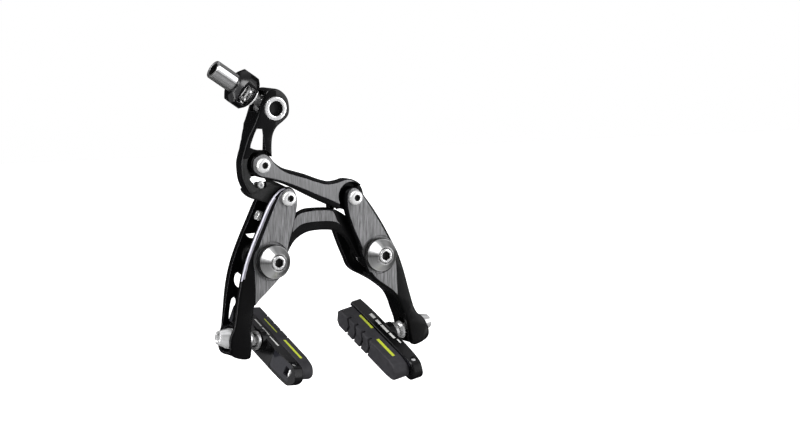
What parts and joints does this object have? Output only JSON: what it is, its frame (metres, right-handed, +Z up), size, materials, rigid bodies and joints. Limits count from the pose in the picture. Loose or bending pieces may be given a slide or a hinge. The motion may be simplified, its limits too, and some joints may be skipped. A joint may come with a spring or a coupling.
{
  "type": "rim brake caliper",
  "caption": "Direct-mount rim brake caliper with arms on separate pivots, a bridge, a lever and link that close the arms, a cable barrel adjuster and cartridge pads.",
  "frame": {"origin": "on the left mounting face, the rear end of the left spacer ring, on the line through both mount bolts and 6 mm inwards of the left bolt; the middle of the brake is 22 mm further along +X", "axes": "+X along the line of the mount bolts to the right as seen facing the front of the brake, +Y to the rear, out of the mounting face into the frame or fork, +Z up, away from the pads"},
  "size_m": [0.1142, 0.0537, 0.1489],
  "materials": {
    "machined_aluminium": "black anodised with brushed machined front facets",
    "black_anodised": "gloss black anodised",
    "steel": "polished",
    "polished_alloy": "turned and polished",
    "black_steel": "black oxide",
    "black_knob": "moulded, satin",
    "pad_rubber": "matte moulded"
  },
  "bodies": {
    "base": {"bridge": "machined_aluminium", "left_mount_bolt": "steel", "left_cone_washer": "polished_alloy", "left_seal_washer": "black_steel", "left_pivot_sleeve": "steel", "left_rear_spacer": "black_steel", "left_return_spring": "steel", "right_mount_bolt": "steel", "right_cone_washer": "polished_alloy", "right_seal_washer": "black_steel", "right_pivot_sleeve": "steel", "right_rear_spacer": "black_steel", "right_return_spring": "steel"},
    "left_arm_set": {"left_arm": "machined_aluminium", "left_top_bolt": "steel", "tension_block": "black_steel"},
    "tension_adjuster": {"tension_screw": "steel"},
    "right_arm_set": {"right_arm": "machined_aluminium", "right_top_bolt": "steel", "cable_anchor_bolt": "steel", "cable_anchor_washer": "steel"},
    "lever_set": {"upper_lever": "black_anodised", "lever_stop_screw": "steel", "link_bolt": "steel"},
    "link_set": {"link": "machined_aluminium"},
    "swivel_set": {"swivel_trunnion": "polished_alloy"},
    "adjuster_carrier": {"adjuster_spring": "steel"},
    "barrel_set": {"barrel_adjuster": "polished_alloy", "adjuster_knob": "black_knob"},
    "left_pad_carrier": {"left_nut_washer": "steel", "left_pad_nut": "polished_alloy", "left_convex_washer": "steel"},
    "left_pad_set": {"left_pad_holder": "black_anodised", "left_brake_pad": "pad_rubber", "left_pad_stud": "steel", "left_concave_washer": "steel", "left_pad_screw": "steel"},
    "right_pad_carrier": {"right_nut_washer": "steel", "right_pad_nut": "polished_alloy", "right_convex_washer": "steel"},
    "right_pad_set": {"right_pad_holder": "black_anodised", "right_brake_pad": "pad_rubber", "right_pad_stud": "steel", "right_concave_washer": "steel", "right_pad_screw": "steel"}
  },
  "joints": [
    {"name": "left_arm_pivot", "type": "hinge", "parent": "base", "child": "left_arm_set", "pos_m": [-0.006, -0.011, 0], "axis": [0, -1, 0], "range_deg": [0, 3.5]},
    {"name": "right_arm_pivot", "type": "hinge", "parent": "base", "child": "right_arm_set", "pos_m": [0.05, -0.011, 0], "axis": [0, 1, 0], "range_deg": [0, 3.5]},
    {"name": "lever_pivot", "type": "hinge", "parent": "left_arm_set", "child": "lever_set", "pos_m": [0.0026, -0.012, 0.0284], "axis": [0, 1, 0], "range_deg": [0, 18.6]},
    {"name": "link_pivot", "type": "hinge", "parent": "lever_set", "child": "link_set", "pos_m": [-0.0103, -0.017, 0.044], "axis": [0, -1, 0], "range_deg": [0, 11.9]},
    {"name": "cable_swivel", "type": "hinge", "parent": "lever_set", "child": "swivel_set", "pos_m": [-0.0028, -0.012, 0.0693], "axis": [0, 1, 0], "range_deg": [-12, 12]},
    {"name": "barrel_travel", "type": "slide", "parent": "swivel_set", "child": "adjuster_carrier", "axis": [-0.8387, 0, 0.5446], "range_m": [-0.0016, 0.0016]},
    {"name": "barrel_turn", "type": "hinge", "parent": "adjuster_carrier", "child": "barrel_set", "pos_m": [-0.0028, -0.012, 0.0693], "axis": [-0.8387, 0, 0.5446], "range_deg": [-724, 724]},
    {"name": "tension_screw_turn", "type": "hinge", "parent": "left_arm_set", "child": "tension_adjuster", "pos_m": [-0.0092, -0.0116, 0.0206], "axis": [0.9404, 0, -0.3401], "range_deg": [-360, 360]},
    {"name": "left_pad_height", "type": "slide", "parent": "left_arm_set", "child": "left_pad_carrier", "axis": [0.1305, 0, 0.9914], "range_m": [-0.0012, 0.0033]},
    {"name": "left_pad_pitch", "type": "hinge", "parent": "left_pad_carrier", "child": "left_pad_set", "pos_m": [-0.0206, -0.0132, -0.0357], "axis": [-0.9914, 0, 0.1305], "range_deg": [-4, 27]},
    {"name": "right_pad_height", "type": "slide", "parent": "right_arm_set", "child": "right_pad_carrier", "axis": [-0.2079, 0, 0.9781], "range_m": [-0.0012, 0.0033]},
    {"name": "right_pad_pitch", "type": "hinge", "parent": "right_pad_carrier", "child": "right_pad_set", "pos_m": [0.0712, -0.0132, -0.036], "axis": [-0.9781, 0, -0.2079], "range_deg": [-4, 27]}
  ],
  "couplings": [
    {"joint": "right_arm_pivot", "follows": "left_arm_pivot", "ratio": 1},
    {"joint": "lever_pivot", "follows": "left_arm_pivot", "ratio": 5.28},
    {"joint": "link_pivot", "follows": "left_arm_pivot", "ratio": 3.36},
    {"joint": "barrel_turn", "follows": "barrel_travel", "rad_per_m": 7854}
  ]
}
